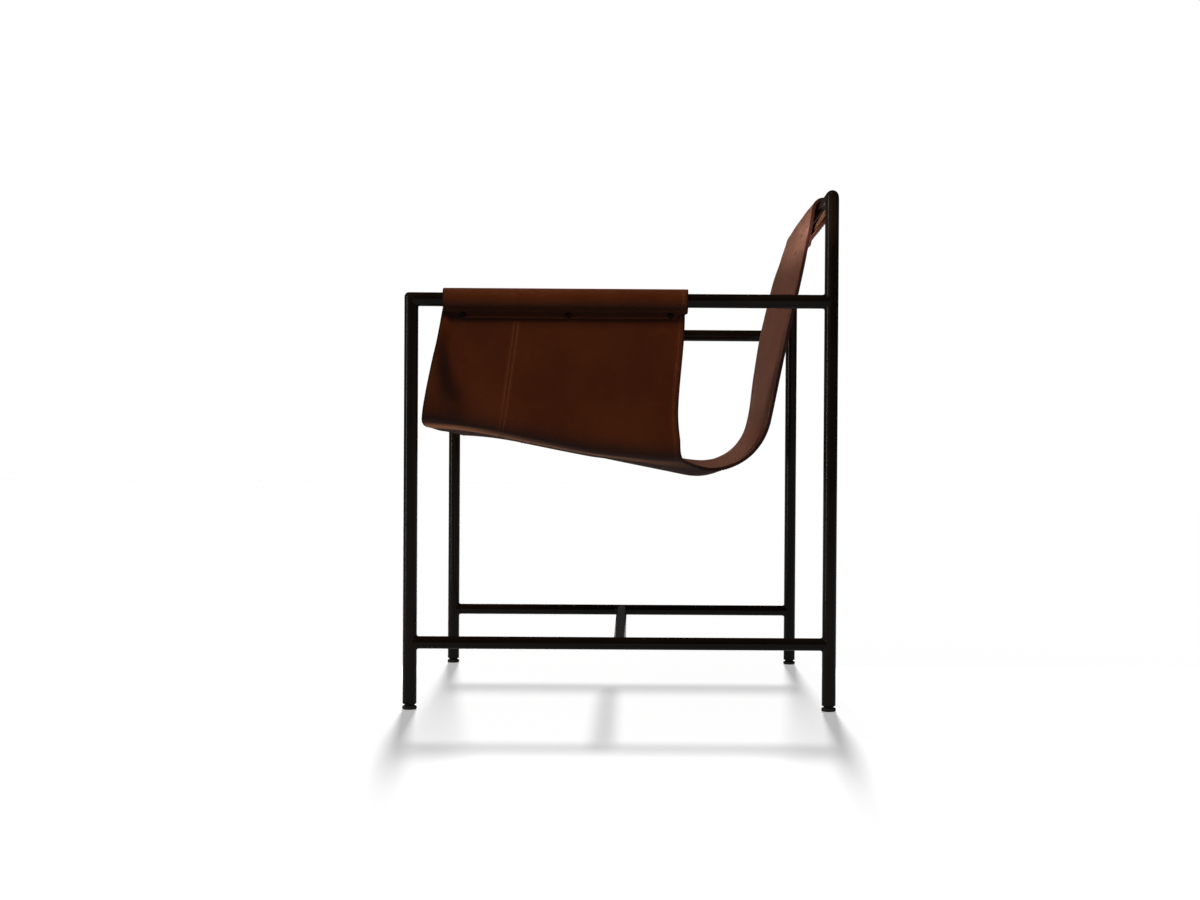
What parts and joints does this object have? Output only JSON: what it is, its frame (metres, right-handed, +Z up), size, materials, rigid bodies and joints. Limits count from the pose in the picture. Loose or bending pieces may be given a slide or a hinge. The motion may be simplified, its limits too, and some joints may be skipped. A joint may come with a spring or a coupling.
{
  "type": "leather sling lounge chair",
  "caption": "Low lounge chair: a leather sling hung from the arm rails and top rail of a slim square-standing black tube frame, on levelling glides.",
  "frame": {"origin": "on the floor, at the centre of the four glides", "axes": "+Z up, -Y the way the sitter faces, +X towards the sitter's left"},
  "size_m": [0.634, 0.6294, 0.7549],
  "materials": {
    "frame_paint": "satin black powder coat",
    "hide": "dark brown saddle leather, softly polished, edges painted near black",
    "glide_plastic": "matte black",
    "glide_steel": "zinc plated",
    "screw_bronze": "dark bronze, worn bright at the edges"
  },
  "bodies": {
    "root": {"arm_rail_left": "frame_paint", "arm_rail_right": "frame_paint", "cross_stretcher": "frame_paint", "front_hide": "hide", "front_leg_left": "frame_paint", "front_leg_right": "frame_paint", "glide_insert_front_left": "glide_steel", "glide_insert_front_right": "glide_steel", "glide_insert_rear_left": "glide_steel", "glide_insert_rear_right": "glide_steel", "main_hide": "hide", "rear_leg_left": "frame_paint", "rear_leg_right": "frame_paint", "screw_cap_arm_left_1": "screw_bronze", "screw_cap_arm_left_2": "screw_bronze", "screw_cap_arm_left_3": "screw_bronze", "screw_cap_arm_right_1": "screw_bronze", "screw_cap_arm_right_2": "screw_bronze", "screw_cap_arm_right_3": "screw_bronze", "screw_cap_back_1": "screw_bronze", "screw_cap_back_2": "screw_bronze", "screw_cap_back_3": "screw_bronze", "screw_cap_back_4": "screw_bronze", "screw_post_arm_left_1": "screw_bronze", "screw_post_arm_left_2": "screw_bronze", "screw_post_arm_left_3": "screw_bronze", "screw_post_arm_right_1": "screw_bronze", "screw_post_arm_right_2": "screw_bronze", "screw_post_arm_right_3": "screw_bronze", "screw_post_back_1": "screw_bronze", "screw_post_back_2": "screw_bronze", "screw_post_back_3": "screw_bronze", "screw_post_back_4": "screw_bronze", "side_stretcher_left": "frame_paint", "side_stretcher_right": "frame_paint", "top_rail": "frame_paint"},
    "pad_front_left": {"glide_pad_front_left": "glide_plastic"},
    "stud_front_left": {"glide_stud_front_left": "glide_steel"},
    "pad_front_right": {"glide_pad_front_right": "glide_plastic"},
    "stud_front_right": {"glide_stud_front_right": "glide_steel"},
    "pad_rear_left": {"glide_pad_rear_left": "glide_plastic"},
    "stud_rear_left": {"glide_stud_rear_left": "glide_steel"},
    "pad_rear_right": {"glide_pad_rear_right": "glide_plastic"},
    "stud_rear_right": {"glide_stud_rear_right": "glide_steel"}
  },
  "joints": [
    {"name": "level_front_left", "type": "slide", "parent": "root", "child": "pad_front_left", "axis": [0, 0, -1], "range_m": [0, 0.0051]},
    {"name": "screw_front_left", "type": "hinge", "parent": "pad_front_left", "child": "stud_front_left", "pos_m": [0.302, -0.302, 0.01], "axis": [0, 0, -1], "range_deg": [0, 1440]},
    {"name": "level_front_right", "type": "slide", "parent": "root", "child": "pad_front_right", "axis": [0, 0, -1], "range_m": [0, 0.0051]},
    {"name": "screw_front_right", "type": "hinge", "parent": "pad_front_right", "child": "stud_front_right", "pos_m": [-0.302, -0.302, 0.01], "axis": [0, 0, -1], "range_deg": [0, 1440]},
    {"name": "level_rear_left", "type": "slide", "parent": "root", "child": "pad_rear_left", "axis": [0, 0, -1], "range_m": [0, 0.0051]},
    {"name": "screw_rear_left", "type": "hinge", "parent": "pad_rear_left", "child": "stud_rear_left", "pos_m": [0.302, 0.302, 0.01], "axis": [0, 0, -1], "range_deg": [0, 1440]},
    {"name": "level_rear_right", "type": "slide", "parent": "root", "child": "pad_rear_right", "axis": [0, 0, -1], "range_m": [0, 0.0051]},
    {"name": "screw_rear_right", "type": "hinge", "parent": "pad_rear_right", "child": "stud_rear_right", "pos_m": [-0.302, 0.302, 0.01], "axis": [0, 0, -1], "range_deg": [0, 1440]}
  ],
  "couplings": [
    {"joint": "level_front_left", "follows": "screw_front_left", "m_per_rad": 0.00019894},
    {"joint": "level_front_right", "follows": "screw_front_right", "m_per_rad": 0.00019894},
    {"joint": "level_rear_left", "follows": "screw_rear_left", "m_per_rad": 0.00019894},
    {"joint": "level_rear_right", "follows": "screw_rear_right", "m_per_rad": 0.00019894}
  ]
}
